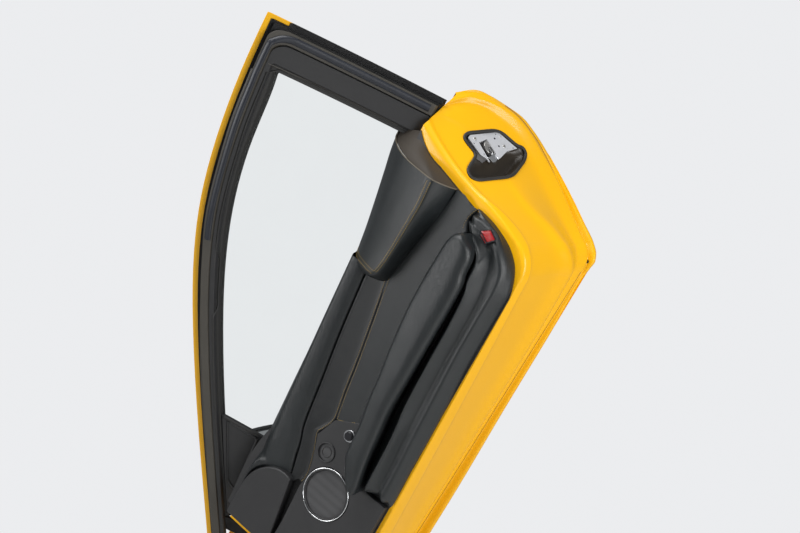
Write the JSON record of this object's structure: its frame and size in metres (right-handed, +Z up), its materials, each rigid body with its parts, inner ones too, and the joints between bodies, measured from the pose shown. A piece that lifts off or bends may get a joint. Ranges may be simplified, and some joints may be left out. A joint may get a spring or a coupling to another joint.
{
  "type": "coupe car door, upward swinging",
  "caption": "Right-hand coupe door that swings up about a front hinge, with framed window, leather trim, latch, mirror and gas strut.",
  "frame": {"origin": "centre of the hinge bracket's four bolts on its bolt face, on the hinge axis", "axes": "+X rearward along the car, +Y outboard to the car's right, +Z up; the door is stored swung up"},
  "size_m": [0.9191, 0.4916, 1.6258],
  "materials": {
    "yellow_paint": "gloss",
    "black_trim": "fine grain satin",
    "black_paint": "gloss",
    "leather": "grained, double stitched",
    "rubber": "matt",
    "glass": "clear",
    "mirror_glass": "polished",
    "steel": "zinc plated",
    "black_steel": "black coated",
    "chrome": "polished",
    "speaker_fabric": "woven mesh",
    "black_gloss": "gloss",
    "red_lens": "clear red lens"
  },
  "bodies": {
    "body_side": {"hinge_bracket": "steel", "hinge_pin": "steel"},
    "door": {"armrest": "leather", "belt_pad": "leather", "control_knob": "black_gloss", "door_lamp": "red_lens", "frame_bar": "black_trim", "frame_seal": "rubber", "front_arch_cover": "black_trim", "glass_run": "rubber", "handle_cup": "black_trim", "hinge_arm": "yellow_paint", "inner_belt_seal": "rubber", "inner_shell": "yellow_paint", "insert_panel": "leather", "knob_ring": "chrome", "lamp_bezel": "black_gloss", "latch_claw": "steel", "latch_cup": "black_trim", "latch_plate": "steel", "lower_moulding": "black_trim", "mid_strip": "black_trim", "mirror_arm": "black_trim", "mirror_glass": "mirror_glass", "mirror_housing": "black_paint", "outer_belt_seal": "rubber", "outer_handle": "yellow_paint", "outer_skin": "yellow_paint", "post_cover": "black_trim", "roof_rail": "yellow_paint", "sail_panel": "black_trim", "shoulder_cap": "black_trim", "shoulder_pad": "leather", "speaker_grille": "speaker_fabric", "speaker_panel": "black_trim", "speaker_ring": "chrome", "trim_carrier": "black_trim", "tweeter_grille": "speaker_fabric", "window_glass": "glass"},
    "strut_cylinder": {"strut_cylinder": "black_steel"},
    "strut_rod": {"strut_rod": "steel"}
  },
  "joints": [
    {"name": "door_hinge", "type": "hinge", "parent": "body_side", "child": "door", "pos_m": [0, 0.033, 0], "axis": [0, -1, 0], "range_deg": [-58, 0]},
    {"name": "strut_turn", "type": "hinge", "parent": "body_side", "child": "strut_cylinder", "pos_m": [0, 0.04, -0.28], "axis": [0, -1, 0], "range_deg": [-8.86, 0]},
    {"name": "strut_slide", "type": "slide", "parent": "strut_cylinder", "child": "strut_rod", "axis": [0.1711, 0, 0.9853], "range_m": [-0.0747, 0]}
  ],
  "couplings": [
    {"joint": "strut_turn", "follows": "door_hinge", "ratio": 0.14975},
    {"joint": "strut_slide", "follows": "door_hinge", "m_per_rad": 0.072349}
  ]
}
